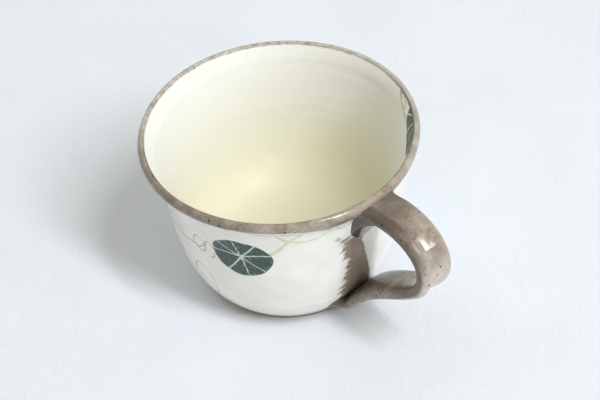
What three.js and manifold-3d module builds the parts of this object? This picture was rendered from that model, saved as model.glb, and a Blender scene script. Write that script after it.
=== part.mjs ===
// Hand-thrown stoneware cup with a pulled strap handle.
// Units are millimetres and +Z is up. The cup stands on z = 0, the handle points along +X,
// and the origin is under the middle of the whole object.
// The clay pieces are the thrown body, its lip, the turned foot ring, the strap and the two
// slip joints that lute the strap to the wall.

import * as THREE from 'three'
import { mergeVertices } from 'three/addons/utils/BufferGeometryUtils.js'
import Module from 'manifold-3d'

// ---- Driving dimensions ----
const HEIGHT = 70.5            // floor to the top of the lip
const RIM_R = 52               // widest radius, at the lip
const WALL = 3.6               // thickness of the thrown wall
const FLOOR_TOP = 10           // height of the inner floor
const FOOT_H = 3.5             // height of the foot ring
const FOOT_R = 32.2            // outer radius of the foot ring where it stands
const FOOT_TOP_R = 34.2        // outer radius of the foot ring where it meets the body
const FOOT_INNER_R = 26.5      // inner radius of the foot ring
const LIP_Z = 64.5             // where the thrown body ends and the lip starts
const LIP_JOIN_R = 48.3        // outer radius of the body at that height
const STRAP_W = [15, 13.2, 17] // strap width at the upper root, the middle and the lower root
const STRAP_T = 6              // strap thickness
const TAIL_T = 4.4             // strap thickness at the end of its tail
const STRAP_DIP = 0.6          // depth of the shallow valley along the strap's outer face
const UPPER_JOINT = 12.5       // length of centreline, from its start, held by the upper joint
const LOWER_JOINT = 24         // length of centreline, up to its end, held by the lower joint
const UPPER_FLARE = 3.5        // how far the upper joint spreads past the strap at the wall
const LOWER_FLARE = 2.2        // how far the lower joint spreads past the strap at the wall
const GAP = 0.3                // clearance between a cut piece and its neighbour
const ROUND_SEGMENTS = 64

// ---- Materials ----
const creamGlaze = () =>
  new THREE.MeshStandardMaterial({ color: 0xe9e8da, roughness: 0.18, metalness: 0 })
const ironGlaze = () =>
  new THREE.MeshStandardMaterial({ color: 0x8c7c6c, roughness: 0.28, metalness: 0 })
const bareClay = () =>
  new THREE.MeshStandardMaterial({ color: 0x8a7763, roughness: 0.85, metalness: 0 })

// ---- Helpers ----
const v2 = (r, z) => new THREE.Vector2(r, z)

// Points along a smooth curve through the given radius and height pairs.
function smooth(pairs, count) {
  return new THREE.SplineCurve(pairs.map(([r, z]) => v2(r, z))).getPoints(count)
}

// Closed solid of revolution about +Z from a profile of (radius, height) points that runs
// up the outside and comes back down the inside.
function turned(profile) {
  return new THREE.LatheGeometry(profile, ROUND_SEGMENTS).rotateX(Math.PI / 2)
}

// Closed solid through a row of rings with equal numbers of points, capped at both ends.
function loft(rings) {
  const n = rings[0].length
  const position = rings.flat().flatMap((p) => [p.x, p.y, p.z])
  const index = []
  for (let i = 0; i < rings.length - 1; i++) {
    for (let j = 0; j < n; j++) {
      const a = i * n + j
      const b = i * n + ((j + 1) % n)
      index.push(a, b, b + n, a, b + n, a + n)
    }
  }
  const last = (rings.length - 1) * n
  for (let j = 1; j < n - 1; j++) {
    index.push(0, j + 1, j, last, last + j, last + j + 1)
  }
  const geometry = new THREE.BufferGeometry()
  geometry.setAttribute('position', new THREE.Float32BufferAttribute(position, 3))
  geometry.setIndex(index)
  return geometry
}

const wasm = await Module()
wasm.setup()

function toSolid(geometry) {
  const bare = geometry.clone()
  bare.deleteAttribute('normal')
  bare.deleteAttribute('uv')
  const merged = mergeVertices(bare, 1e-4)
  return new wasm.Manifold(new wasm.Mesh({
    numProp: 3,
    vertProperties: new Float32Array(merged.attributes.position.array),
    triVerts: new Uint32Array(merged.index.array),
  }))
}

function toGeometry(solid) {
  const mesh = solid.getMesh()
  const geometry = new THREE.BufferGeometry()
  geometry.setAttribute('position', new THREE.Float32BufferAttribute(mesh.vertProperties, 3))
  geometry.setIndex(Array.from(mesh.triVerts))
  geometry.computeVertexNormals()
  return geometry
}

// ---- Thrown body ----
// The wall rises from the foot in a full curve, stands nearly straight and starts to flare
// just below the lip. The inside follows it one wall thickness in, down to a round floor.
const BODY_OUTSIDE = [
  [FOOT_TOP_R, FOOT_H], [37.6, 8.5], [41.3, 17], [44.1, 30], [46.1, 47], [47.4, 58],
  [LIP_JOIN_R, LIP_Z],
]
const BODY_INSIDE = [
  [LIP_JOIN_R - WALL, LIP_Z], [43.4, 55], [42.2, 44], [40.1, 30], [37, 20], [31, 13.2],
  [22, 10.6], [9, FLOOR_TOP],
]

function thrownBody() {
  return turned([
    v2(0, FOOT_H),
    ...smooth(BODY_OUTSIDE, 14),
    ...smooth(BODY_INSIDE, 14),
    v2(0, FLOOR_TOP),
  ])
}

// ---- Lip ----
// The lip turns outwards to a rounded edge, steep outside and softly dished inside.
const LIP_OUTSIDE = [
  [LIP_JOIN_R, LIP_Z], [49.3, 66.6], [50.8, 68.1], [51.8, 68.7], [RIM_R, 69.3],
  [51.6, 70.1], [50.6, HEIGHT], [49.6, 70.2],
]
const LIP_INSIDE = [[49.6, 70.2], [48.2, 68.8], [46.6, 67], [LIP_JOIN_R - WALL, LIP_Z]]

function lip() {
  const inside = smooth(LIP_INSIDE, 4)
  return turned([...smooth(LIP_OUTSIDE, 10), ...inside.slice(1), v2(LIP_JOIN_R, LIP_Z)])
}

// ---- Foot ring ----
function footRing() {
  return turned([
    v2(FOOT_INNER_R, 0.6), v2(FOOT_INNER_R + 0.6, 0), v2(FOOT_R - 0.4, 0), v2(FOOT_R, 0.5),
    v2(FOOT_TOP_R - 0.6, 2.2), v2(FOOT_TOP_R, FOOT_H), v2(FOOT_INNER_R, FOOT_H),
    v2(FOOT_INNER_R, 0.6),
  ])
}

// ---- Strap handle ----
// The centreline lies in the XZ plane. It leaves the wall just below the lip, rises over a
// finger, turns down past its furthest point, sweeps back to lie along the wall and dives in.
const CROWN_X = 79.7
const centreline = new THREE.CurvePath()
centreline.add(new THREE.CubicBezierCurve(
  v2(43, 58.6), v2(59, 72.3), v2(CROWN_X, 65.5), v2(CROWN_X, 53.3)))
centreline.add(new THREE.CubicBezierCurve(
  v2(CROWN_X, 53.3), v2(CROWN_X, 36.8), v2(57.6, 36.1), v2(41.2, 11.4)))
centreline.add(new THREE.CubicBezierCurve(
  v2(41.2, 11.4), v2(39.8, 9.4), v2(37.6, 8.8), v2(32, 8.8)))
const LENGTH = centreline.getLength()
const TAIL_START = 0.82        // fraction of the centreline where the strap starts to thin

function strapWidth(u) {
  const [top, middle, bottom] = STRAP_W
  return u < 0.5
    ? THREE.MathUtils.lerp(top, middle, u * 2)
    : THREE.MathUtils.lerp(middle, bottom, u * 2 - 1)
}

function strapThickness(u) {
  const tail = THREE.MathUtils.smoothstep(u, TAIL_START, 1)
  return THREE.MathUtils.lerp(STRAP_T, TAIL_T, tail)
}

// One cross-section of the strap at the fraction u of the centreline, grown all round.
// It is a flat rounded bar, dished along the outer face.
const SECTION_POINTS = 20
const SQUARENESS = 2.8
const STRAP_STEPS = 36
const JOINT_STEPS = 10
const FLARE_END = 0.8          // fraction of a slip joint's length where it is fully spread
function strapSection(u, grow) {
  const centre = centreline.getPointAt(u)
  const along = centreline.getTangentAt(u)
  const outward = v2(-along.y, along.x)
  const halfW = strapWidth(u) / 2 + grow
  const halfT = strapThickness(u) / 2 + grow
  const bend = (value) => Math.sign(value) * Math.abs(value) ** (2 / SQUARENESS)
  const ring = []
  for (let i = 0; i < SECTION_POINTS; i++) {
    const angle = (i / SECTION_POINTS) * 2 * Math.PI
    const across = bend(Math.cos(angle))
    const face = bend(Math.sin(angle))
    const valley = face > 0 ? STRAP_DIP * face * (1 - across ** 2) : 0
    const lift = halfT * face - valley
    ring.push(new THREE.Vector3(
      centre.x + outward.x * lift, halfW * across, centre.y + outward.y * lift))
  }
  return ring
}

function strapLoft(from, to, steps, growAt) {
  const rings = []
  for (let i = 0; i <= steps; i++) {
    const u = THREE.MathUtils.lerp(from, to, i / steps)
    rings.push(strapSection(u, growAt(i / steps)))
  }
  return toSolid(loft(rings))
}

// The cup's outer shape as a full solid, one gap larger, for trimming the slip joints.
function wallCutter() {
  const outside = [...smooth(BODY_OUTSIDE, 14), ...smooth(LIP_OUTSIDE, 10).slice(1, 8)]
  const grown = outside.map((p) => v2(p.x + GAP, p.y))
  return toSolid(turned([
    v2(0, -GAP), v2(FOOT_R + GAP, -GAP), ...grown, v2(grown.at(-1).x, 2 * HEIGHT),
    v2(0, 2 * HEIGHT),
  ]))
}

// A slip joint carries on from the strap's cut end and spreads in a hollow curve until it
// meets the wall, which trims it.
function slipJoint(wall, from, to, flare) {
  const spread = (t) => {
    const rise = Math.min(1, t / FLARE_END)
    return flare * (1 - Math.sqrt(1 - rise ** 2))
  }
  const forward = from < to
  const solid = forward
    ? strapLoft(from, to, JOINT_STEPS, spread)
    : strapLoft(to, from, JOINT_STEPS, (t) => spread(1 - t))
  return toGeometry(solid.subtract(wall))
}

// ---- Assembly ----
const upperEnd = UPPER_JOINT / LENGTH
const lowerEnd = 1 - LOWER_JOINT / LENGTH
const halfGap = GAP / 2 / LENGTH
const wall = wallCutter()
const strap = toGeometry(
  strapLoft(upperEnd + halfGap, lowerEnd - halfGap, STRAP_STEPS, () => 0))
strap.computeBoundingBox()
const cupX = -(strap.boundingBox.max.x - RIM_R) / 2

const group = new THREE.Group()

function place(name, geometry, material) {
  const mesh = new THREE.Mesh(geometry, material)
  mesh.name = name
  mesh.position.x = cupX
  group.add(mesh)
}

place('thrown_body', thrownBody(), creamGlaze())
place('lip', lip(), ironGlaze())
place('foot_ring', footRing(), bareClay())
place('handle_strap', strap, ironGlaze())
place('upper_slip_joint', slipJoint(wall, upperEnd - halfGap, 0, UPPER_FLARE), ironGlaze())
place('lower_slip_joint', slipJoint(wall, lowerEnd + halfGap, 1, LOWER_FLARE), ironGlaze())

export default group
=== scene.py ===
"""Looks for a hand-thrown stoneware mug with a pulled strap handle.

Everything is in metres in the row frame: +Z up, the handle along +X. Sizes below are in
millimetres, as a potter would give them, and are scaled by MM where they become geometry.
"Bearing" is the angle round the cup from the handle, in degrees, seen from above.
"""

import math

import bpy
import numpy as np
from mathutils import Matrix, Vector


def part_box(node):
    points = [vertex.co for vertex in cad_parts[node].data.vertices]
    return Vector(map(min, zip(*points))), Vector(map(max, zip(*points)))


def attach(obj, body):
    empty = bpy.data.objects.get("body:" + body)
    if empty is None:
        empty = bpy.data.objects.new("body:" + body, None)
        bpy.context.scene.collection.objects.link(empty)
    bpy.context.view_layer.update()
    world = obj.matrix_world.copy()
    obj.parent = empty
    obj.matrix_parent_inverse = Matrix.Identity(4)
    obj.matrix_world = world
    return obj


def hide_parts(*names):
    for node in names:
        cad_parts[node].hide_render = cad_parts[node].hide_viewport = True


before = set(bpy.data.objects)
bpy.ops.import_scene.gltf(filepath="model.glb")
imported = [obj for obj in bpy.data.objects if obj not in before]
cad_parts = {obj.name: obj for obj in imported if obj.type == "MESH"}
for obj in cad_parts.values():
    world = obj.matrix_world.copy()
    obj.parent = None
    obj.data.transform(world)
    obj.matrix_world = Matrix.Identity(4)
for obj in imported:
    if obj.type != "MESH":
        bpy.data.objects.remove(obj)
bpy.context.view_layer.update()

MM = 0.001
SEED = 11

# ---------------------------------------------------------------- places, from the frame
LIP_LOW, LIP_HIGH = (np.array(c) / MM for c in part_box("lip"))
FOOT_LOW, FOOT_HIGH = (np.array(c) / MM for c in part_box("foot_ring"))
CUP_X = (LIP_LOW[0] + LIP_HIGH[0]) / 2      # the cup's own axis
RIM_R = (LIP_HIGH[1] - LIP_LOW[1]) / 2
HEIGHT = LIP_HIGH[2]
LIP_Z = LIP_LOW[2]                          # where the lip piece sits on the body
FOOT_H = FOOT_HIGH[2]
FOOT_TOP_R = (FOOT_HIGH[1] - FOOT_LOW[1]) / 2

# ---------------------------------------------------------------- outlines, (radius, height)
FOOT_INNER_R = 26.5
OUTSIDE = [
    (FOOT_TOP_R, FOOT_H), (37.6, 8.5), (41.3, 17), (44.1, 30), (46.2, 47), (47.7, 56),
    (48.8, 62.5), (50.4, 64.4), (51.7, 66.4), (RIM_R + 0.3, 68.2), (52.1, 69.4), (51.4, 70.3),
    (50.5, HEIGHT), (49.9, 70.1),
]
INSIDE = [
    (49.9, 70.1), (49.2, 68.8), (48.3, 66.9), (47.5, 64.6), (46.7, 61.2), (45.8, 57), (44.9, 52),
    (43.4, 44), (40.9, 31), (37.2, 20.5), (30.6, 13.2), (21.5, 10.5), (9, 10), (0, 10),
]

# The strap's centreline, cubic Bezier pieces in (distance from the cup's axis, height).
CENTRELINE = [
    [(43, 58.6), (59, 72.3), (79.7, 65.5), (79.7, 53.3)],
    [(79.7, 53.3), (79.7, 36.8), (57.6, 36.1), (41.4, 10.6)],
    [(41.4, 10.6), (40.1, 8.6), (37.6, 7.8), (32, 7.8)],
]


# ================================================================ curves
def spline(points, per_span):
    """Points along a smooth curve through the given points."""
    p = np.array(points, float)
    p = np.vstack([p[0], p, p[-1]])
    out = []
    for k in range(1, len(p) - 2):
        t = np.linspace(0, 1, per_span, endpoint=False)[:, None]
        a, b, c, d = p[k - 1], p[k], p[k + 1], p[k + 2]
        out.append(0.5 * (2 * b + (c - a) * t + (2 * a - 5 * b + 4 * c - d) * t ** 2
                          + (3 * b - a - 3 * c + d) * t ** 3))
    out.append(p[-1:])
    return np.vstack(out)


def evenly(points, step):
    """The same line with its points about one step apart."""
    gaps = np.linalg.norm(np.diff(points, axis=0), axis=1)
    along = np.concatenate([[0], np.cumsum(gaps)])
    count = max(2, int(round(along[-1] / step)) + 1)
    even = np.linspace(0, along[-1], count)
    return np.stack([np.interp(even, along, points[:, k]) for k in range(points.shape[1])], 1)


def smoothstep(x, low, high):
    t = np.clip((x - low) / (high - low), 0, 1)
    return t * t * (3 - 2 * t)


# ================================================================ meshes
def grid_faces(rows, columns):
    """Quads of a rows by columns grid whose columns wrap round."""
    r = np.arange(rows - 1)[:, None]
    c = np.arange(columns)[None, :]
    a = r * columns + c
    b = r * columns + (c + 1) % columns
    return np.stack([a, b, b + columns, a + columns], -1).reshape(-1, 4)


def make_mesh(name, vertices_mm, faces, attributes=None, loop_normals=None):
    """A smooth-shaded object from vertices in millimetres about the cup's axis."""
    mesh = bpy.data.meshes.new(name)
    vertices = (vertices_mm + [CUP_X, 0, 0]) * MM
    mesh.from_pydata(vertices.tolist(), [], faces if isinstance(faces, list) else faces.tolist())
    mesh.polygons.foreach_set("use_smooth", np.ones(len(mesh.polygons), bool))
    for key, values in (attributes or {}).items():
        layer = mesh.attributes.new(key, "FLOAT", "POINT")
        layer.data.foreach_set("value", np.asarray(values, np.float32))
    mesh.update()
    if loop_normals is not None:
        mesh.normals_split_custom_set(loop_normals.tolist())
    piece = bpy.data.objects.new(name, mesh)
    bpy.context.scene.collection.objects.link(piece)
    return piece


# ================================================================ thrown cup
TURNS = 440                                  # columns round the cup
SPAN_POINTS = 16                             # points of a smooth outline per span
FINE_BELOW_LIP = 4.0                         # rows are closer together from this far under it
BASE_STEP, WALL_STEP, LIP_STEP = 3.0, 0.6, 0.3
MOUTH_STEP, INSIDE_STEP, FLOOR_STEP = 0.4, 0.75, 1.2
LIP_DROP = 0.18                              # the wavy lip sits this much below its outline


def throwing_marks(bearing, height, outside):
    """How far the potter's hands moved the wall in or out, in millimetres."""
    oval = 0.22 * np.cos(2 * bearing + 0.7) + 0.10 * np.cos(3 * bearing + 2.1)
    oval = oval * smoothstep(height, 0, 45)
    pitch = 7.0 if outside else 5.2
    phase = 2 * math.pi * height / pitch + bearing
    rings = 0.022 * np.sin(phase) * (1 + 0.6 * np.sin(height * 0.31 + 1.3))
    lean = 0.5 * np.cos(bearing - math.radians(45)) * smoothstep(height, 25, 58)
    dent = -0.3 * np.cos(3 * (bearing + 1.0)) * smoothstep(height, 45, 68)
    return oval + rings + dent + lean * (1 - smoothstep(height, 62, 68))


def cup_rows():
    """The cup's whole outline from under the base, up, over the lip and down inside.

    Returns the outline's points and the index of the rows where the lip piece starts and ends.
    """
    base = evenly(np.array([(0, FOOT_H), (FOOT_TOP_R, FOOT_H)], float), BASE_STEP)
    outside, inside = spline(OUTSIDE, SPAN_POINTS), spline(INSIDE, SPAN_POINTS)
    bend = LIP_Z - FINE_BELOW_LIP
    wall_out = evenly(outside[outside[:, 1] <= bend], WALL_STEP)
    lip_out = evenly(outside[outside[:, 1] > bend], LIP_STEP)
    lip_in = evenly(inside[inside[:, 1] > bend], MOUTH_STEP)
    wall_in = evenly(inside[inside[:, 1] <= bend], INSIDE_STEP)
    deep = len(wall_in) // 2
    line = np.vstack([base, wall_out[1:], lip_out, lip_in[1:], wall_in[:deep + 1],
                      evenly(wall_in[deep:], FLOOR_STEP)[1:]])
    top = int(np.argmax(line[:, 1]))
    start = int(np.argmax(line[:, 1] >= LIP_Z))
    end = top + int(np.argmax(line[top:, 1] <= LIP_Z))
    return line, start, end


def cup_grid():
    """The cup's outline turned round its axis, with the throwing marks and the wavy lip."""
    outline, start, end = cup_rows()
    bearing = np.arange(TURNS) / TURNS * 2 * math.pi
    radius, height = outline[:, 0][:, None], outline[:, 1][:, None]
    top = int(np.argmax(outline[:, 1]))
    is_out = (np.arange(len(outline)) <= top)[:, None]
    push = np.where(is_out, throwing_marks(bearing, height, True),
                    throwing_marks(bearing, height, False))
    push = push * smoothstep(radius, 0.0, 12.0)
    wide = radius + push
    wave = 0.18 * np.sin(2 * bearing + 0.4) + 0.3 * (np.cos(3 * (bearing + 1.0)) - 1)
    wave = wave * smoothstep(height, 50, HEIGHT)
    grid = np.stack([wide * np.cos(bearing), wide * np.sin(bearing),
                     height + wave - LIP_DROP * smoothstep(height, 50, HEIGHT)], -1)
    return outline, grid, start, end


def grid_normals(grid):
    across = np.roll(grid, -1, 1) - np.roll(grid, 1, 1)
    along = np.gradient(grid, axis=0)
    normal = np.cross(across, along)
    length = np.linalg.norm(normal, axis=-1, keepdims=True)
    return normal / np.maximum(length, 1e-9)


OUTLINE, CUP_GRID, LIP_START, LIP_END = cup_grid()
CUP_NORMALS = grid_normals(CUP_GRID)


def body_piece(attributes):
    """The thrown body: everything but the lip's rows, closed by a flat band under the lip."""
    rows = [CUP_GRID[1:LIP_START + 1], CUP_GRID[LIP_END:-1]]
    grid = np.concatenate(rows)
    normals = np.concatenate([CUP_NORMALS[1:LIP_START + 1], CUP_NORMALS[LIP_END:-1]])
    keep = np.concatenate([np.arange(1, LIP_START + 1), np.arange(LIP_END, len(CUP_GRID) - 1)])
    count = len(grid)
    faces = grid_faces(count, TURNS)
    loops = normals.reshape(-1, 3)[faces.reshape(-1)]
    band = LIP_START - 1                     # quads between the two parts of the body
    flat = slice(band * TURNS * 4, (band + 1) * TURNS * 4)
    loops[flat] = (0, 0, 1)
    vertices = np.vstack([grid.reshape(-1, 3), [[0, 0, FOOT_H], [0, 0, OUTLINE[-1, 1]]]])
    low, high = len(vertices) - 2, len(vertices) - 1
    ring = np.arange(TURNS)
    after = (ring + 1) % TURNS
    last = (count - 1) * TURNS
    bottom = np.stack([np.full(TURNS, low), after, ring], 1)
    top = np.stack([np.full(TURNS, high), last + ring, last + after], 1)
    all_faces = faces.tolist() + bottom.tolist() + top.tolist()
    loops = np.vstack([loops, np.tile([0, 0, -1.0], (TURNS * 3, 1)),
                       np.tile([0, 0, 1.0], (TURNS * 3, 1))])
    values = {}
    for key, field in attributes.items():
        flat_field = field[keep].reshape(-1)
        values[key] = np.append(flat_field, [field[0, 0], field[-1, 0]])
    return make_mesh("thrown_body_glazed", vertices, all_faces, values, loops)


def lip_piece(attributes):
    """The lip: a ring closed by a flat band underneath."""
    grid = CUP_GRID[LIP_START:LIP_END + 1]
    normals = CUP_NORMALS[LIP_START:LIP_END + 1]
    rows = len(grid)
    faces = grid_faces(rows, TURNS)
    loops = normals.reshape(-1, 3)[faces.reshape(-1)]
    ring = np.arange(TURNS)
    after = (ring + 1) % TURNS
    last = (rows - 1) * TURNS
    under = np.stack([last + ring, last + after, after, ring], 1)
    loops = np.vstack([loops, np.tile([0, 0, -1.0], (TURNS * 4, 1))])
    values = {key: field[LIP_START:LIP_END + 1].reshape(-1)
              for key, field in attributes.items()}
    return make_mesh("lip_glazed", grid.reshape(-1, 3), np.vstack([faces, under]), values, loops)


# ================================================================ strap handle
SECTION = 72                   # points round the strap
MIDDLE_RINGS, UPPER_RINGS, LOWER_RINGS = 230, 26, 22
STRAP_W = [15, 13.2, 17]
STRAP_T = 6.0
TAIL_T = 5.0
TAIL_START = 0.82
SQUARE_NEAR, SQUARE_FAR = 3.0, 4.4
VALLEY = 1.65                  # depth of the lopsided hollow along the strap's outer face
CROWNING = 0.1                 # how far that face stands up elsewhere
BURIED = (-0.9, -0.3)          # the first two rings of a root lie this far off the wall, within it
SKIN = 0.02                    # and its fillet starts this far off it


def centreline(count):
    """Evenly spaced points and directions along the strap's centreline."""
    t = np.linspace(0, 1, 400)[:, None]
    line = []
    for a, b, c, d in (np.array(piece, float) for piece in CENTRELINE):
        line.append(a * (1 - t) ** 3 + 3 * b * t * (1 - t) ** 2 + 3 * c * t * t * (1 - t)
                    + d * t ** 3)
    line = np.vstack([line[0], line[1][1:], line[2][1:]])
    gaps = np.linalg.norm(np.diff(line, axis=0), axis=1)
    along = np.concatenate([[0], np.cumsum(gaps)])
    even = np.linspace(0, along[-1], count)
    points = np.stack([np.interp(even, along, line[:, k]) for k in (0, 1)], 1)
    direction = np.gradient(points, axis=0)
    direction /= np.linalg.norm(direction, axis=1, keepdims=True)
    return points, direction, along[-1]


LINE, DIRECTION, LENGTH = centreline(1201)


def strap_point(u, angle):
    """The strap's surface at fraction u of its length and an angle round its section."""
    index = u * (len(LINE) - 1)
    steps = np.arange(len(LINE))
    cx, cz = (np.interp(index, steps, LINE[:, k]) for k in (0, 1))
    dx, dz = (np.interp(index, steps, DIRECTION[:, k]) for k in (0, 1))
    half_w = np.interp(u, [0, 0.5, 1], STRAP_W) / 2
    half_t = (STRAP_T + (TAIL_T - STRAP_T) * smoothstep(u, TAIL_START, 1)) / 2
    power = 2 / np.where(np.cos(angle) > 0, SQUARE_FAR, SQUARE_NEAR)
    across, face = (np.sign(v) * np.abs(v) ** power for v in (np.cos(angle), np.sin(angle)))
    toward_far = smoothstep(across, -0.62, -0.34) * np.clip((0.86 - across) / 1.2, 0, 1)
    middle = smoothstep(u, 0.02, 0.16) * (1 - smoothstep(u, 0.66, 0.88))
    dip = np.where(face > 0, face * (VALLEY * toward_far * middle - CROWNING), 0.0)
    lift = half_t * face - dip
    sway = 0.25 * np.sin(u * 7 + 0.6)
    return np.stack([cx - dz * lift, half_w * across + sway, cz + dx * lift], -1)


WALL_LINE = spline(OUTSIDE[:10], SPAN_POINTS)


def wall_at(p, z):
    """The thrown wall's radius at a height, on the bearing of each point."""
    bearing = np.arctan2(p[..., 1], p[..., 0])
    return np.interp(z, WALL_LINE[:, 1], WALL_LINE[:, 0]) + throwing_marks(bearing, z, True)


def standoff(p):
    """How far each point stands off the wall, negative inside it."""
    return np.hypot(p[..., 0], p[..., 1]) - wall_at(p, p[..., 2])


def onto_wall(p, distance, low=FOOT_H + 0.6, high=LIP_Z + 3.2):
    """Each point moved in or out until it stands that distance off the wall."""
    z = np.clip(p[..., 2], low, high)
    scale = (wall_at(p, z) + distance) / np.hypot(p[..., 0], p[..., 1])
    return np.stack([p[..., 0] * scale, p[..., 1] * scale, z], -1)


def root_rings(forward, reach, flare, steps):
    """Rings from inside the wall out along a hollow fillet to the strap, at one root.

    forward is true at the upper root. reach and flare are, for each point of the section,
    how far the fillet runs along the strap and along the wall. Returns the rings and, for
    each point, the fraction of the strap's length where its fillet ends.
    """
    angle = np.arange(SECTION) / SECTION * 2 * math.pi
    place = (lambda t: t) if forward else (lambda t: 1 - t)
    buried, free = np.zeros(SECTION), np.full(SECTION, 0.35)
    for _ in range(30):
        middle = (buried + free) / 2
        inside = standoff(strap_point(place(middle), angle)) < 0
        buried = np.where(inside, middle, buried)
        free = np.where(inside, free, middle)
    corner = strap_point(place(free), angle)
    start_t = free + reach / LENGTH
    start = strap_point(place(start_t), angle)
    up, spread = (1.0, 0.14) if forward else (-1.0, 0.6)
    away = np.stack([0 * angle, spread * np.cos(angle), up * np.sin(angle)], 1)
    away /= np.linalg.norm(away, axis=1, keepdims=True)
    foot = onto_wall(corner + away * flare[:, None], SKIN)
    corner = onto_wall(corner, SKIN) * 0.6 + (foot + start) * 0.2
    t = np.linspace(0, 1, steps)[:, None, None] ** 1.15
    fillet = foot * (1 - t) ** 2 + corner * 2 * t * (1 - t) + start * t ** 2
    rings = np.concatenate([[onto_wall(foot, depth) for depth in BURIED], fillet])
    return rings, start_t


def handle_piece():
    """The strap with both its roots, as one skin."""
    angle = np.arange(SECTION) / SECTION * 2 * math.pi
    outer = np.clip(np.sin(angle), 0, 1)
    thin = 1 - 0.6 * smoothstep(np.cos(angle), -0.2, 0.8)
    under = smoothstep(-np.sin(angle), -0.02, 0.6) * thin
    deep = smoothstep(-np.sin(angle), 0.55, 1.0) * thin
    side = np.where(np.cos(angle) < 0, 1.0, 0.25) * np.abs(np.cos(angle))
    upper, upper_t = root_rings(
        True, 3.0 + 8.0 * under + 2.5 * outer, 0.9 + 7.4 * under + 2.6 * deep + 2.6 * outer,
        UPPER_RINGS)
    lower, lower_t = root_rings(
        False, 2.5 + 1.5 * outer + 1.0 * side, 1.0 + 1.6 * outer + 3.4 * side, LOWER_RINGS)
    first, last = upper_t, 1 - lower_t
    share = np.linspace(0, 1, MIDDLE_RINGS)[1:-1, None]
    around = np.broadcast_to(angle, (MIDDLE_RINGS - 2, SECTION))
    middle = strap_point(first + (last - first) * share, around)
    rings = np.concatenate([upper, middle, lower[::-1]])
    vertices = rings.reshape(-1, 3)
    faces = grid_faces(len(rings), SECTION)[:, ::-1]
    ends = [list(range(SECTION)), list(range(len(vertices) - SECTION, len(vertices)))[::-1]]
    turn = np.tile(angle, len(rings))
    attributes = {
        "along": np.repeat(np.linspace(0, 1, len(rings)), SECTION),
        "across": np.cos(turn), "face": np.sin(turn), "stand": standoff(vertices),
    }
    return make_mesh("handle_pulled", vertices, faces.tolist() + ends, attributes)


# ================================================================ foot ring
FOOT_TURNS, FOOT_STEP, CHIPS = 320, 0.22, 14


def foot_piece():
    """The turned foot ring, with tool marks under it and small chips round its edge."""
    outline_mm = [
        (FOOT_INNER_R, FOOT_H), (FOOT_INNER_R, 1.0), (FOOT_INNER_R + 0.25, 0.35),
        (FOOT_INNER_R + 0.8, 0.0), (31.6, 0.0), (32.1, 0.25), (32.5, 0.9), (33.3, 2.2),
        (FOOT_TOP_R, FOOT_H),
    ]
    line = evenly(np.array(outline_mm, float), FOOT_STEP)
    bearing = np.arange(FOOT_TURNS) / FOOT_TURNS * 2 * math.pi
    rng = np.random.default_rng(SEED)
    radius = line[:, 0][:, None] + 0.0 * bearing
    height = line[:, 1][:, None] + 0.0 * bearing
    tool = 0.05 * np.sin(line[:, 0] * 9)[:, None] * (height < 0.2)
    chips = np.zeros(FOOT_TURNS)
    for _ in range(CHIPS):
        centre, depth = rng.uniform(0, 2 * math.pi), rng.uniform(0.03, 0.12)
        gap = np.angle(np.exp(1j * (bearing - centre)))
        chips += depth * np.exp(-(gap / rng.uniform(0.01, 0.05)) ** 2)
    edge = smoothstep(radius, 31.0, 32.2) * (height < 2.0)
    radius = radius - chips * edge
    height = np.maximum(height + np.abs(tool), 0.0)
    grid = np.stack([radius * np.cos(bearing), radius * np.sin(bearing), height], -1)
    rows = len(line)
    faces = grid_faces(rows, FOOT_TURNS)
    ring = np.arange(FOOT_TURNS)
    after = (ring + 1) % FOOT_TURNS
    last = (rows - 1) * FOOT_TURNS
    top = np.stack([last + ring, last + after, after, ring], 1)
    return make_mesh("foot_ring_turned", grid.reshape(-1, 3), np.vstack([faces, top]))


# ================================================================ decoration
# The painting is laid out on the unrolled wall: (distance round, height) in millimetres, with
# distance counted from the handle's plane and growing with the bearing. Each field below is
# a distance in millimetres, negative inside the painted shape, stored on the mesh.
UNROLL_R = 46.0
FAR = 99.0                     # a distance field's value where nothing is painted
VEIN_WIDTHS = (0.34, 0.30)     # half widths, at the leaf's middle and past its edge
TENDRIL_WIDTHS = (0.75, 0.55)
# The crease above the strap's tail is painted with pooled glaze and painted shade.
CREASE = [(-9, 9), (-5, 11.5), (8, 12.5)]    # where glaze pools above the strap's tail


def distance_to_line(x, y, line, half_widths):
    """Distance from each place to a line whose half width varies from point to point."""
    best = np.full(x.shape, FAR)
    for (ax, ay), (bx, by), wa, wb in zip(line[:-1], line[1:], half_widths[:-1], half_widths[1:]):
        dx, dy = bx - ax, by - ay
        t = np.clip(((x - ax) * dx + (y - ay) * dy) / (dx * dx + dy * dy + 1e-9), 0, 1)
        best = np.minimum(best, np.hypot(x - ax - t * dx, y - ay - t * dy) - (wa + (wb - wa) * t))
    return best


def stroke(x, y, points, start_width, end_width):
    """Distance to a smooth brush stroke whose width swells and thins a little."""
    line = spline(points, 8)
    widths = np.linspace(start_width, end_width, len(line)) / 2
    widths = widths * (1 + 0.18 * np.sin(np.arange(len(line)) * 0.9))
    return distance_to_line(x, y, line, widths)


def curl(centre, half, start, end):
    """Points round part of an ellipse, for a tendril's loop; angles in degrees."""
    turn = np.radians(np.linspace(start, end, 10))
    return [(centre[0] + half[0] * math.cos(a), centre[1] + half[1] * math.sin(a)) for a in turn]


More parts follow.
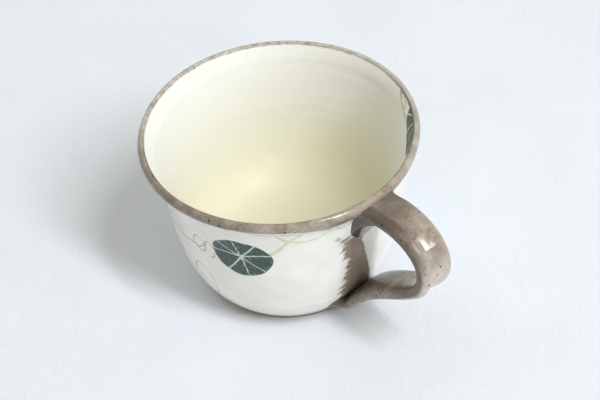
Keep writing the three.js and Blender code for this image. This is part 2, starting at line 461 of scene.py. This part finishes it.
def leaf_outline(x, y, leaf):
    """Distance to a round leaf's edge, a little uneven like a brushed shape."""
    dx, dy = x - leaf["at"][0], y - leaf["at"][1]
    angle = np.arctan2(dy, dx)
    a, b = leaf["half"]
    reach = 1 / np.sqrt((np.cos(angle) / a) ** 2 + (np.sin(angle) / b) ** 2)
    uneven = 0.022 * np.sin(3 * angle + leaf["turn"]) + 0.012 * np.sin(7 * angle + 1.0)
    corner = 0.01 * np.exp(-(np.angle(np.exp(1j * (angle - leaf["corner"]))) / 0.22) ** 2)
    return np.hypot(dx, dy) - reach * (1 + uneven + corner)


def leaf_veins(x, y, leaf):
    """Distance to the veins scratched from near the leaf's middle out through its edge."""
    best = np.full(x.shape, FAR)
    cx, cy = leaf["heart"]
    for index, degrees in enumerate(leaf["veins"]):
        angle = math.radians(degrees)
        bend = 0.55 * math.sin(index * 2.4 + leaf["turn"])
        reach = 1.12 * max(leaf["half"])
        line = []
        for t in np.linspace(0, 1, 9):
            side = bend * math.sin(math.pi * t)
            line.append((cx + reach * t * math.cos(angle) - side * math.sin(angle),
                         cy + reach * t * math.sin(angle) + side * math.cos(angle)))
        widths = np.linspace(*VEIN_WIDTHS, len(line))
        best = np.minimum(best, distance_to_line(x, y, line, widths))
    return best


MAIN_LEAF = {
    "at": (-48, 47), "half": (11.5, 10), "heart": (-48, 48), "turn": 0.5,
    "corner": math.radians(150), "veins": (145, 105, 55, 10, -40, -80, -125, -180),
}
BACK_LEAF = {
    "at": (116.0, 44.0), "half": (11.0, 9.6), "heart": (115.4, 44.8), "turn": 2.2,
    "corner": math.radians(35), "veins": (160, 112, 66, 22, -24, -70, -118, -160),
}
SIDE_LEAF = {
    "at": (62.0, 36.0), "half": (8.0, 7.2), "heart": (61.6, 36.5), "turn": 4.0,
    "corner": math.radians(-40), "veins": (150, 96, 45, -5, -60, -120, -170),
}
INNER_LEAF = {
    "at": (34.0, 71.0), "half": (11.6, 11.0), "heart": (36.0, 74.0), "turn": 1.4,
    "corner": math.radians(-12), "veins": (-5, -35, -70, -110, -150),
}
OUTER_STEMS = [
    ([(-38, 50), (-34, 54), (-30, 59), (-25, 63)], 1.7, 0.9),
    ([(-36, 65.5), (-32, 60), (-26.5, 58), (-21, 58.5)]
     + curl((-17.5, 61.25), (1, 1.25), -70, 250) + [(-14, 60.5)], 1.1, 0.7),
    ([(105, 48), (98, 54), (90, 58), (82, 57), (72, 64)], 0.9, 0.5),
    ([(69, 39), (76, 47), (90, 58)], 0.8, 0.5),
    ([(125, 50), (132, 57), (143, 58)], 0.8, 0.4),
]
OUTER_TENDRILS = [
    [(-96, 47), (-88, 43.5), (-77, 42.5)] + curl((-66.5, 46), (3, 4), -150, 230)
    + curl((-61.5, 45.5), (2, 4.5), 160, -110),
    curl((-70, 22), (5.5, 10), 170, -50),
    [(126, 41)] + curl((129, 33), (4, 5), 40, -190),
    [(56, 32)] + curl((52.5, 21), (3, 4), 150, 350),
    [(-100, 42), (-110, 47), (-122, 42), (-134, 46), (-143, 52)],
]
INNER_STEMS = [
    ([(56, 69.5), (50.5, 66), (45, 65)], 1.0, 0.8),
    ([(53.5, 70)] + curl((51, 67.5), (2, 1.25), 120, 350), 0.6, 0.5),
]

# The brushed panel between the handle's roots: (height, left edge, right edge).
PATCH_EDGES = [
    (2, -11, 7), (20, -10.5, 4.5), (38, -9, -0.5), (52, -12.5, -3.5),
]


def patch_field(x, y):
    """Distance to the brushed panel's edge."""
    z, left, right = (np.array(c, float) for c in zip(*PATCH_EDGES))
    low, high = np.interp(y, z, left), np.interp(y, z, right)
    top = 52.5 - 0.85 * np.clip(x + 8.5, 0, 9)
    return np.maximum.reduce([low - x, x - high, (y - top) * 0.8])


def paint_fields():
    """Every painted shape as a field over the cup's grid."""
    bearing = np.angle(np.exp(1j * (np.arange(TURNS) / TURNS * 2 * math.pi)))
    x = np.broadcast_to(bearing[None, :] * UNROLL_R, CUP_GRID.shape[:2])
    y = np.broadcast_to(OUTLINE[:, 1][:, None], CUP_GRID.shape[:2])
    top = int(np.argmax(OUTLINE[:, 1]))
    outer = np.arange(len(OUTLINE)) <= top
    far = np.full(x.shape, FAR)
    leaf, vein, stem, tendril, patch = (far.copy() for _ in range(5))
    xo, yo, xi, yi = x[outer], y[outer], x[~outer], y[~outer]
    for each in (MAIN_LEAF, BACK_LEAF, SIDE_LEAF):
        leaf[outer] = np.minimum(leaf[outer], leaf_outline(xo, yo, each))
        vein[outer] = np.minimum(vein[outer], leaf_veins(xo, yo, each))
    leaf[~outer] = leaf_outline(xi, yi, INNER_LEAF)
    vein[~outer] = leaf_veins(xi, yi, INNER_LEAF)
    for points, wide, thin in OUTER_STEMS:
        stem[outer] = np.minimum(stem[outer], stroke(xo, yo, points, wide, thin))
    for points, wide, thin in INNER_STEMS:
        stem[~outer] = np.minimum(stem[~outer], stroke(xi, yi, points, wide, thin))
    for points in OUTER_TENDRILS:
        tendril[outer] = np.minimum(tendril[outer], stroke(xo, yo, points, *TENDRIL_WIDTHS))
    patch[outer] = patch_field(xo, yo)
    crease = far.copy()
    crease[outer] = distance_to_line(xo, yo, CREASE, [0] * len(CREASE))
    inner = np.where(outer[:, None], 0.0, 1.0) + 0 * x
    return {
        "wrap": x, "rise": y, "leaf": leaf, "vein": vein, "stem": stem, "tendril": tendril,
        "patch": patch, "crease": crease, "band": band_field(top), "inner": inner,
    }


# Lower edge of the brown band outside: (bearing, height); it dips to meet the handle.
BAND_LOW = [
    (-180, 66.5), (-120, 67), (-36, 67), (-22, 64.5), (-15, 62.5), (15, 62.5), (22, 65),
    (60, 65.5), (110, 66.5), (180, 66.5),
]
BAND_INNER_R = 49.7            # inner edge of the brown band on top of the lip


def band_field(top):
    """Distance along the outline to the brown band's nearest edge, negative within it."""
    gaps = np.linalg.norm(np.diff(OUTLINE, axis=0), axis=1)
    along = np.concatenate([[0], np.cumsum(gaps)])
    bearing = np.degrees(np.angle(np.exp(1j * np.arange(TURNS) / TURNS * 2 * math.pi)))
    at, low_z = (np.array(column, float) for column in zip(*BAND_LOW))
    low_z = np.interp(bearing, at, low_z)
    rise = np.interp(low_z, OUTLINE[LIP_START - 20:top, 1], along[LIP_START - 20:top])
    lip_rows = slice(top, LIP_END)
    fall = np.interp(-BAND_INNER_R, -OUTLINE[lip_rows, 0], along[lip_rows])
    return np.maximum(rise[None, :] - along[:, None], along[:, None] - fall)


# ================================================================ materials
class Paint:
    """A few short words for building a node material."""

    def __init__(self, name):
        self.material = bpy.data.materials.new(name)
        self.material.use_nodes = True
        self.tree = self.material.node_tree
        self.shader = self.tree.nodes["Principled BSDF"]
        self.place = self.node("ShaderNodeTexCoord").outputs["Object"]

    def node(self, kind, **settings):
        node = self.tree.nodes.new(kind)
        for key, value in settings.items():
            setattr(node, key, value)
        return node

    def feed(self, socket, value):
        if isinstance(value, bpy.types.NodeSocket):
            self.tree.links.new(value, socket)
        elif isinstance(value, tuple) and len(value) == 3 and socket.type == "RGBA":
            socket.default_value = (*value, 1)
        else:
            socket.default_value = value

    def field(self, name):
        return self.node("ShaderNodeAttribute", attribute_name=name).outputs["Fac"]

    def maths(self, operation, a, b=0.0, c=0.0):
        node = self.node("ShaderNodeMath", operation=operation)
        for socket, value in zip(node.inputs, (a, b, c)):
            self.feed(socket, value)
        return node.outputs[0]

    def noise(self, size_mm, detail=3.0, rough=0.5, vector=None, warp=0.0):
        node = self.node("ShaderNodeTexNoise")
        self.feed(node.inputs["Vector"], self.place if vector is None else vector)
        node.inputs["Scale"].default_value = (1.0 if vector is not None else 1000.0) / size_mm
        node.inputs["Detail"].default_value = detail
        node.inputs["Roughness"].default_value = rough
        node.inputs["Distortion"].default_value = warp
        return node.outputs["Fac"]

    def ramp(self, value, low, high, to_low=0.0, to_high=1.0):
        node = self.node("ShaderNodeMapRange", interpolation_type="SMOOTHSTEP")
        for key, amount in (("Value", value), ("From Min", low), ("From Max", high),
                            ("To Min", to_low), ("To Max", to_high)):
            self.feed(node.inputs[key], amount)
        return node.outputs["Result"]

    def blend(self, share, a, b, mode="MIX"):
        node = self.node("ShaderNodeMix", data_type="RGBA", blend_type=mode)
        self.feed(node.inputs["Factor"], share)
        self.feed(node.inputs[6], a)
        self.feed(node.inputs[7], b)
        return node.outputs[2]

    def within(self, field, soft=0.12, uneven=0.0, size_mm=1.2):
        """1 inside a painted shape, 0 outside, with an edge that is uneven by some mm."""
        if uneven:
            ripple = self.maths("SUBTRACT", self.noise(size_mm, 4.0, 0.6), 0.5)
            field = self.maths("MULTIPLY_ADD", ripple, uneven, field)
        return self.ramp(field, soft, -soft)

    def closeness(self, field, centre, far, close):
        """1 where a field is within close of a centre, fading to 0 at far from it."""
        away = self.maths("ABSOLUTE", self.maths("SUBTRACT", self.field(field), centre))
        return self.ramp(away, far, close)

    def specks(self, size_mm, radius_mm, share, offset=0.0):
        """Round specks of varied size, in about that share of the cells of a fine lattice."""
        node = self.node("ShaderNodeTexVoronoi", feature="F1")
        shifted = self.node("ShaderNodeVectorMath", operation="ADD")
        self.feed(shifted.inputs[0], self.place)
        shifted.inputs[1].default_value = (offset, offset * 0.7, offset * 1.3)
        self.feed(node.inputs["Vector"], shifted.outputs[0])
        node.inputs["Scale"].default_value = 1000.0 / size_mm
        pick = self.node("ShaderNodeSeparateColor")
        self.feed(pick.inputs[0], node.outputs["Color"])
        size = self.maths("MULTIPLY", self.ramp(pick.outputs[0], 1 - share, 1.0), radius_mm / size_mm)
        gap = self.maths("SUBTRACT", node.outputs["Distance"], size)
        chosen = self.maths("GREATER_THAN", pick.outputs[0], 1 - share)
        return self.maths("MULTIPLY", self.ramp(gap, 0.03, -0.03), chosen)

    def bump(self, height_mm, strength=1.0, under=None):
        node = self.node("ShaderNodeBump")
        node.inputs["Strength"].default_value = strength
        node.inputs["Distance"].default_value = MM
        self.feed(node.inputs["Height"], height_mm)
        if under is not None:
            self.feed(node.inputs["Normal"], under)
        return node.outputs[0]

    def finish(self, colour, roughness, normal, specular):
        self.feed(self.shader.inputs["Base Color"], colour)
        self.feed(self.shader.inputs["Roughness"], roughness)
        self.feed(self.shader.inputs["Normal"], normal)
        self.shader.inputs["IOR"].default_value = 1.52
        self.shader.inputs["Specular IOR Level"].default_value = specular
        return self.material


# Glaze and clay colours, scene linear.
CREAM_OUT, CREAM_OUT_THICK = (0.87, 0.86, 0.82), (0.80, 0.80, 0.75)
# Inside, the second colour is painted shade towards the bottom of the cup.
CREAM_IN, CREAM_IN_SHADED_DEEP = (0.80, 0.80, 0.765), (0.715, 0.69, 0.53)
IRON_PALE, IRON_MID, IRON_DARK = (0.43, 0.365, 0.31), (0.26, 0.212, 0.162), (0.085, 0.062, 0.048)
# The second colour on the next line is pooled glaze darkened as painted shade.
IRON_GREY, IRON_POOL_AND_SHADE = (0.37, 0.335, 0.28), (0.022, 0.017, 0.014)
# Pale colour for the painted light on the handle's bend.
IRON_LIT = (0.70, 0.64, 0.59)
# Pale lip colour, for rubbed wear and for painted light on the lit side.
LIP_WORN_AND_LIT = (0.56, 0.55, 0.50)
SPECK = (0.022, 0.016, 0.014)
LEAF_SLATE, LEAF_GREEN = (0.058, 0.082, 0.096), (0.046, 0.084, 0.070)
VEIN = (0.58, 0.62, 0.58)
STEM_GREEN, STEM_OLIVE = (0.56, 0.64, 0.34), (0.28, 0.30, 0.12)
TENDRIL_GREEN = (0.33, 0.34, 0.22)
CLAY_DARK, CLAY_PALE = (0.16, 0.115, 0.08), (0.28, 0.215, 0.155)
CLOTH_SHADE, CLOTH_LIGHT = (0.695, 0.728, 0.775), (0.725, 0.758, 0.805)
PANEL_LEAN = math.radians(27)  # slope of the bristle strokes
PANEL_PUSH = 10.5              # how far, in mm, they break up the panel's edge
OUTSIDE_ROUGH, INSIDE_ROUGH = 0.14, 0.42


def iron_colour(paint):
    """Mottled brown iron glaze with dark specks."""
    broad = paint.ramp(paint.noise(7.0, 4.0, 0.55, warp=0.4), 0.34, 0.66)
    fine = paint.ramp(paint.noise(1.1, 5.0, 0.7), 0.30, 0.70)
    colour = paint.blend(broad, IRON_MID, IRON_PALE)
    colour = paint.blend(paint.maths("MULTIPLY", fine, 0.30), colour, IRON_DARK)
    dust = paint.maths("MULTIPLY", paint.specks(0.9, 0.34, 0.35, 0.0), 0.45)
    small = paint.maths("MULTIPLY", paint.specks(2.0, 0.46, 0.42, 0.2), 0.85)
    large = paint.specks(4.4, 0.62, 0.5, 0.3)
    return paint.blend(paint.maths("MAXIMUM", paint.maths("MAXIMUM", dust, small), large),
                       colour, SPECK)


def cream_colour(paint):
    """Cream glaze, paler outside and warmer inside, turning darker and yellower towards the bottom
    inside as painted shade.
    """
    inner = paint.field("inner")
    pool = paint.ramp(paint.noise(14.0, 3.0, 0.5), 0.35, 0.70)
    outside = paint.blend(pool, CREAM_OUT, CREAM_OUT_THICK)
    # Painted shade: the inside turns darker and yellower towards the bottom.
    depth = paint.ramp(paint.field("rise"), 64, 12)
    inside = paint.blend(depth, CREAM_IN, CREAM_IN_SHADED_DEEP)
    colour = paint.blend(inner, outside, inside)
    dots = paint.maths("MULTIPLY", paint.specks(7.0, 0.16, 0.20, 0.6), 0.45)
    rim_dots = paint.maths("MULTIPLY", paint.specks(2.4, 0.28, 0.30, 0.8),
                           paint.ramp(paint.field("rise"), 60, 68))
    return paint.blend(paint.maths("MAXIMUM", dots, paint.maths("MULTIPLY", rim_dots, 0.5)),
                       colour, IRON_MID)


def painted_leaf(paint, vein):
    """The leaf's dark wash and its pale scratched veins."""
    hue = paint.ramp(paint.field("wrap"), -58, -42)
    body = paint.blend(hue, LEAF_SLATE, LEAF_GREEN)
    grain = paint.ramp(paint.noise(1.3, 5.0, 0.7), 0.45, 0.85, 0.0, 0.16)
    body = paint.blend(grain, body, CREAM_OUT_THICK)
    worn = paint.maths("MULTIPLY", paint.ramp(paint.field("leaf"), -1.6, 0.0),
                       paint.ramp(paint.noise(2.2, 4.0), 0.45, 0.65))
    body = paint.blend(paint.maths("MULTIPLY", worn, 0.35), body, VEIN)
    return paint.blend(vein, body, VEIN)


def painted_vines(paint, colour, inner):
    """Thin tendrils and broader washed stems over a colour."""
    tendril = paint.within(paint.field("tendril"), 0.20, 0.30)
    colour = paint.blend(paint.maths("MULTIPLY", tendril, 0.8), colour, TENDRIL_GREEN)
    stem = paint.within(paint.field("stem"), 0.34, 0.45)
    wash = paint.ramp(paint.noise(3.0, 3.0), 0.3, 0.7, 0.55, 0.9)
    green = paint.blend(inner, STEM_GREEN, STEM_OLIVE)
    return paint.blend(paint.maths("MULTIPLY", stem, wash), colour, green)


def panel_iron(paint, iron, outline_tint):
    """The panel's iron glaze: pooled glaze and painted shade in the crease by the tail, dark along
    its outline.
    """
    # Pooled glaze with painted shade: darker towards the crease above the strap's tail.
    crease = paint.ramp(paint.field("crease"), 5.0, 0.6)
    pooled_and_shaded = paint.blend(paint.maths("MULTIPLY", crease, 0.8), iron, IRON_POOL_AND_SHADE)
    pooled_and_shaded = paint.blend(outline_tint, pooled_and_shaded, IRON_DARK)
    return paint.blend(paint.ramp(crease, 0.3, 0.0, 0.0, 0.45), pooled_and_shaded, IRON_PALE)


def lip_iron(paint, iron):
    """The lip's iron glaze, rubbed paler round the back, paler on the right side as painted light,
    and darker at one side.
    """
    worn = paint.maths("SUBTRACT", 1.0, paint.closeness("wrap", -20, 96, 66))
    rubbed = paint.ramp(paint.noise(2.4, 5.0, 0.65), 0.36, 0.62, 0.15, 0.72)
    colour = paint.blend(paint.maths("MULTIPLY", worn, rubbed), iron, LIP_WORN_AND_LIT)
    # Painted light: paler on the lip's right side, toward the lamps.
    lit_right_side = paint.maths("MULTIPLY", paint.closeness("wrap", 50, 52, 20), 0.3)
    colour = paint.blend(lit_right_side, colour, LIP_WORN_AND_LIT)
    # Darker on one side of the lip, about a quarter turn from the handle.
    darker_side = paint.maths("MULTIPLY", paint.closeness("wrap", -74, 44, 8), 0.3)
    return paint.blend(darker_side, colour, IRON_DARK)


def edge_line(paint, band_edge):
    """Cover of the dark line on top of the lip where the band ends, faint round the back."""
    above = paint.ramp(paint.field("rise"), 67.5, 69.0)
    line = paint.maths("MULTIPLY", paint.ramp(band_edge, 0.55, 0.15),
                       paint.ramp(band_edge, -0.95, -0.45))
    near = paint.closeness("wrap", -20, 92, 62)
    line = paint.maths("MULTIPLY", line, paint.maths("MULTIPLY", above, 0.8))
    return paint.maths("MULTIPLY", line, paint.maths("MULTIPLY_ADD", near, 0.85, 0.15))


def band_haze(paint, band_edge, inner):
    """Cover of the broken brown haze on the cream just below the band, outside only."""
    under = paint.ramp(paint.field("rise"), 67.0, 65.5)
    haze = paint.maths("MULTIPLY", paint.ramp(band_edge, 3.6, 2.2), paint.ramp(band_edge, 0.1, 0.6))
    broken = paint.ramp(paint.noise(6.0, 5.0, 0.7), 0.34, 0.60)
    haze = paint.maths("MULTIPLY", paint.maths("MULTIPLY", haze, broken), under)
    haze = paint.maths("MULTIPLY", haze, paint.maths("SUBTRACT", 1.0, inner))
    return paint.maths("MULTIPLY", haze, 0.6)


def cup_relief(paint, iron_cover, scratched, inner):
    """Glaze thickness in mm: thicker on iron, scratched at the veins, one turned groove."""
    thick = paint.maths("MULTIPLY", paint.noise(5.5, 2.0, 0.4), 0.05)
    thick = paint.maths("MULTIPLY_ADD", iron_cover, 0.06, thick)
    thick = paint.maths("MULTIPLY_ADD", scratched, -0.05, thick)
    groove = paint.maths("MULTIPLY", paint.ramp(paint.field("rise"), 19.5, 17.8),
                         paint.ramp(paint.field("rise"), 16.2, 17.6))
    groove = paint.maths("MULTIPLY", groove, paint.maths("SUBTRACT", 1.0, inner))
    return paint.maths("MULTIPLY_ADD", groove, -0.10, thick)


def cup_glaze(name, specular):
    """Cream glaze over painted leaves, stems and the brushed panel, with a brown lip."""
    paint = Paint(name)
    inner = paint.field("inner")
    leaf = paint.within(paint.field("leaf"), 0.14, 0.30)
    vein = paint.within(paint.field("vein"), 0.13, 0.16, 0.8)
    colour = painted_vines(paint, cream_colour(paint), inner)
    colour = paint.blend(leaf, colour, painted_leaf(paint, vein))

    iron = iron_colour(paint)
    panel, outline_tint = brushed_panel(paint)
    colour = paint.blend(panel, colour, panel_iron(paint, iron, outline_tint))

    ripple = paint.maths("SUBTRACT", paint.noise(2.6, 5.0, 0.62), 0.5)
    band_edge = paint.maths("MULTIPLY_ADD", ripple, 1.3, paint.field("band"))
    band = paint.ramp(band_edge, 0.18, -0.18)
    colour = paint.blend(band, colour, lip_iron(paint, iron))
    colour = paint.blend(edge_line(paint, band_edge), colour, IRON_DARK)
    colour = paint.blend(band_haze(paint, band_edge, inner), colour, IRON_MID)

    relief = cup_relief(paint, paint.maths("MAXIMUM", panel, band),
                        paint.maths("MULTIPLY", leaf, vein), inner)
    rough = paint.ramp(inner, 0.0, 1.0, OUTSIDE_ROUGH, INSIDE_ROUGH)
    return paint.finish(colour, rough, paint.bump(relief, 0.8), specular)


def brushed_panel(paint):
    """The brushed panel's cover, its edges broken into slanting bristle strokes, and the dark
    outline that gathers along those strokes."""
    wrap, rise = paint.field("wrap"), paint.field("rise")
    cos, sin = math.cos(PANEL_LEAN), math.sin(PANEL_LEAN)
    along = paint.maths("MULTIPLY_ADD", wrap, cos, paint.maths("MULTIPLY", rise, sin))
    across = paint.maths("MULTIPLY_ADD", wrap, -sin, paint.maths("MULTIPLY", rise, cos))
    place = paint.node("ShaderNodeCombineXYZ")
    paint.feed(place.inputs[0], paint.maths("MULTIPLY", along, 0.10))
    paint.feed(place.inputs[1], across)
    coarse = paint.noise(1.5, 2.0, 0.5, vector=place.outputs[0])
    fine = paint.noise(0.6, 2.0, 0.6, vector=place.outputs[0])
    bristle = paint.maths("MULTIPLY_ADD", fine, 0.45, coarse)
    left = paint.ramp(wrap, 0.5, -5.0, 0.06, 1.0)
    push = paint.maths("MULTIPLY", paint.maths("SUBTRACT", bristle, 0.72), left)
    edge = paint.maths("MULTIPLY_ADD", push, PANEL_PUSH, paint.field("patch"))
    cover = paint.ramp(edge, 0.5, -0.5)
    outline_tint = paint.maths("MULTIPLY", paint.ramp(edge, -1.9, -0.5), left)
    return cover, paint.maths("MULTIPLY", outline_tint, 0.55)


def handle_glaze():
    """Iron glaze that breaks paler on the strap's edges, with painted shade at the roots, on the near
    side and lower arm, pooled glaze with painted shade by the tail, and painted light on the bend.
    """
    paint = Paint("iron_glaze_handle")
    colour = iron_colour(paint)
    ridge = paint.ramp(paint.field("across"), 0.80, 0.97)
    worn = paint.maths("MULTIPLY", ridge, paint.ramp(paint.noise(3.0, 4.0), 0.4, 0.65))
    colour = paint.blend(paint.maths("MULTIPLY", worn, 0.35), colour, IRON_PALE)
    pulled = paint.node("ShaderNodeCombineXYZ")
    paint.feed(pulled.inputs[0], paint.maths("MULTIPLY", paint.field("along"), 6.0))
    paint.feed(pulled.inputs[1], paint.maths("MULTIPLY", paint.field("across"), 7.0))
    paint.feed(pulled.inputs[2], paint.maths("MULTIPLY", paint.field("face"), 2.0))
    streak = paint.noise(1.3, 4.0, 0.6, vector=pulled.outputs[0])
    colour = paint.blend(paint.ramp(streak, 0.50, 0.72, 0.0, 0.25), colour, IRON_GREY)
    # Painted shade: darker on the lower arm's inner face, at the upper root and its crook, and along
    # the strap's near side.
    along = paint.field("along")
    lower_arm = paint.maths("MULTIPLY", paint.ramp(along, 0.55, 0.85, 0.0, 0.9),
                            paint.ramp(paint.field("face"), 0.6, -0.3))
    upper_root = paint.ramp(along, 0.22, 0.11, 0.0, 0.48)
    crook = paint.maths("MULTIPLY", paint.ramp(paint.field("across"), 0.15, -0.5, 0.0, 0.85),
                        paint.ramp(along, 0.30, 0.17))
    upper_root = paint.maths("MAXIMUM", upper_root, crook)
    near_edge = paint.maths("MULTIPLY", paint.ramp(paint.field("across"), -0.35, -0.9, 0.0, 0.72),
                            paint.ramp(along, 0.66, 0.5))
    shade = paint.maths("MAXIMUM", lower_arm, paint.maths("MAXIMUM", upper_root, near_edge))
    colour = paint.blend(shade, colour, IRON_DARK)
    # Painted light: paler, mottled colour on the outer face of the strap's bend.
    bend = paint.maths("MULTIPLY", paint.ramp(along, 0.24, 0.47),
                       paint.ramp(along, 0.62, 0.50))
    mottle = paint.ramp(paint.noise(5.0, 4.0, 0.6), 0.32, 0.68, 0.6, 1.0)
    lit_bend = paint.maths("MULTIPLY", paint.maths("MULTIPLY", bend, mottle),
                         paint.ramp(paint.field("face"), 0.0, 0.5))
    colour = paint.blend(lit_bend, colour, IRON_LIT)
    colour = paint.blend(paint.specks(3.4, 0.5, 0.45, 0.3), colour, SPECK)
    # Pooled glaze with painted shade: darker where the lower arm's underside comes close to the wall.
    root = paint.ramp(paint.field("stand"), 3.5, 0.2, 0.0, 0.75)
    low = paint.ramp(paint.field("along"), 0.6, 0.8)
    facing = paint.ramp(paint.field("face"), -0.2, -0.9)
    colour = paint.blend(paint.maths("MULTIPLY", root, paint.maths("MULTIPLY", low, facing)),
                         colour, IRON_POOL_AND_SHADE)
    skin = paint.maths("MULTIPLY", paint.noise(4.0, 2.0, 0.5), 0.08)
    grit = paint.maths("MULTIPLY_ADD", paint.noise(0.7, 3.0, 0.6), 0.012, skin)
    grit = paint.maths("MULTIPLY_ADD", streak, 0.03, grit)
    rough = paint.ramp(paint.noise(3.0, 3.0), 0.3, 0.7, 0.07, 0.12)
    return paint.finish(colour, rough, paint.bump(grit, 0.8), 0.30)


def bare_clay():
    """Unglazed brown clay, matt and gritty."""
    paint = Paint("bare_clay_foot")
    tone = paint.ramp(paint.noise(3.5, 5.0, 0.6), 0.3, 0.7)
    colour = paint.blend(tone, CLAY_DARK, CLAY_PALE)
    colour = paint.blend(paint.specks(1.3, 0.25, 0.25, 0.9), colour, SPECK)
    grit = paint.maths("MULTIPLY", paint.noise(0.5, 4.0, 0.7), 0.08)
    return paint.finish(colour, paint.ramp(tone, 0.0, 1.0, 0.72, 0.9), paint.bump(grit), 0.3)


# ================================================================ assemble
fields = paint_fields()
body = body_piece(fields)
lip = lip_piece(fields)
handle = handle_piece()
foot = foot_piece()
body.data.materials.append(cup_glaze("cream_glaze_cup", 0.18))
lip.data.materials.append(cup_glaze("iron_glaze_lip", 0.42))
handle.data.materials.append(handle_glaze())
foot.data.materials.append(bare_clay())

for piece, nodes, slot in (
    (body, ("thrown_body",), "cream_glaze"),
    (lip, ("lip",), "iron_glaze"),
    (handle, ("handle_strap", "upper_slip_joint", "lower_slip_joint"), "iron_glaze"),
    (foot, ("foot_ring",), "bare_clay"),
):
    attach(piece, "root")
    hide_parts(*nodes)


# ================================================================ floor, light and camera
def table_top():
    """Plain pale cloth with a faint unevenness."""
    paint = Paint("table")
    tone = paint.ramp(paint.noise(60.0, 3.0), 0.3, 0.7)
    colour = paint.blend(tone, CLOTH_SHADE, CLOTH_LIGHT)
    weave = paint.maths("MULTIPLY", paint.noise(4.5, 4.0, 0.6, warp=1.2), 0.6)
    return paint.finish(colour, 0.75, paint.bump(weave, 0.5), 0.3)


# Lamps: name, bearing, height above the horizon, width, height, power, colour; in degrees,
# metres and watts.
LAMP_DISTANCE = 2.4
LAMP_AIM = Vector((0, 0, 0.03))
LAMPS = [
    ("bright_wall", 28, 32, 2.4, 1.6, 10.5, (0.85, 0.92, 1.0)),
    ("far_wall", 172, 35, 1.8, 1.6, 11.5, (0.6, 0.8, 1.0)),
]
# The window is two by two tall panes, the only lamps that the glaze mirrors.
WINDOW_BEARING, WINDOW_RISE = 5, 51
PANE_APART_ACROSS, PANE_APART_UP = 2.45, 8.0
PANE_W, PANE_H, PANE_POWER = 0.13, 0.64, 10.8
for across in (-1, 1):
    for up in (-1, 1):
        LAMPS.append((f"pane_{across}_{up}", WINDOW_BEARING + across * PANE_APART_ACROSS,
                      WINDOW_RISE + up * PANE_APART_UP, PANE_W, PANE_H, PANE_POWER,
                      (0.93, 0.96, 1.0)))
FLOOR_SIZE = 30
AIR_TINT, AIR_STRENGTH = (1.0, 0.94, 0.80, 1), 0.54


def floor_and_light():
    bpy.ops.mesh.primitive_plane_add(size=FLOOR_SIZE, location=(0, 0, 0))
    floor = bpy.context.object
    floor.name = "floor"
    floor.data.materials.append(table_top())
    world = bpy.data.worlds.new("studio")
    bpy.context.scene.world = world
    world.use_nodes = True
    back = world.node_tree.nodes["Background"]
    back.inputs["Color"].default_value = AIR_TINT
    back.inputs["Strength"].default_value = AIR_STRENGTH
    for name, bearing, rise, wide, tall, power, colour in LAMPS:
        light = bpy.data.lights.new(name, "AREA")
        light.shape = "RECTANGLE"
        light.size, light.size_y = wide, tall
        light.energy = power
        light.color = colour
        lamp = bpy.data.objects.new(name, light)
        lamp.visible_glossy = name.startswith("pane")
        bpy.context.scene.collection.objects.link(lamp)
        b, e = math.radians(bearing), math.radians(rise)
        lamp.location = LAMP_DISTANCE * Vector((math.cos(e) * math.cos(b), math.cos(e) * math.sin(b),
                                                math.sin(e)))
        aim = LAMP_AIM - lamp.location
        lamp.rotation_euler = aim.to_track_quat("-Z", "Y").to_euler()


CAMERA_BEARING = -36.8
CAMERA_OUT = 0.3880
CAMERA_UP = 0.4085
AIM = (0.0033, 0.0042, 0.0315)
ROLL = -5.47
LENS = 84.0


def camera():
    data = bpy.data.cameras.new("camera")
    data.lens, data.sensor_width = LENS, 36
    cam = bpy.data.objects.new("camera", data)
    bpy.context.scene.collection.objects.link(cam)
    b = math.radians(CAMERA_BEARING)
    axis = Vector((CUP_X * MM, 0, 0))
    cam.location = axis + Vector((CAMERA_OUT * math.cos(b), CAMERA_OUT * math.sin(b), CAMERA_UP))
    look = axis + Vector(AIM) - cam.location
    turn = look.to_track_quat("-Z", "Y")
    cam.rotation_mode = "QUATERNION"
    cam.rotation_quaternion = turn @ Matrix.Rotation(math.radians(ROLL), 4, "Z").to_quaternion()
    bpy.context.scene.camera = cam


floor_and_light()
camera()
bpy.context.scene.view_settings.view_transform = "Standard"
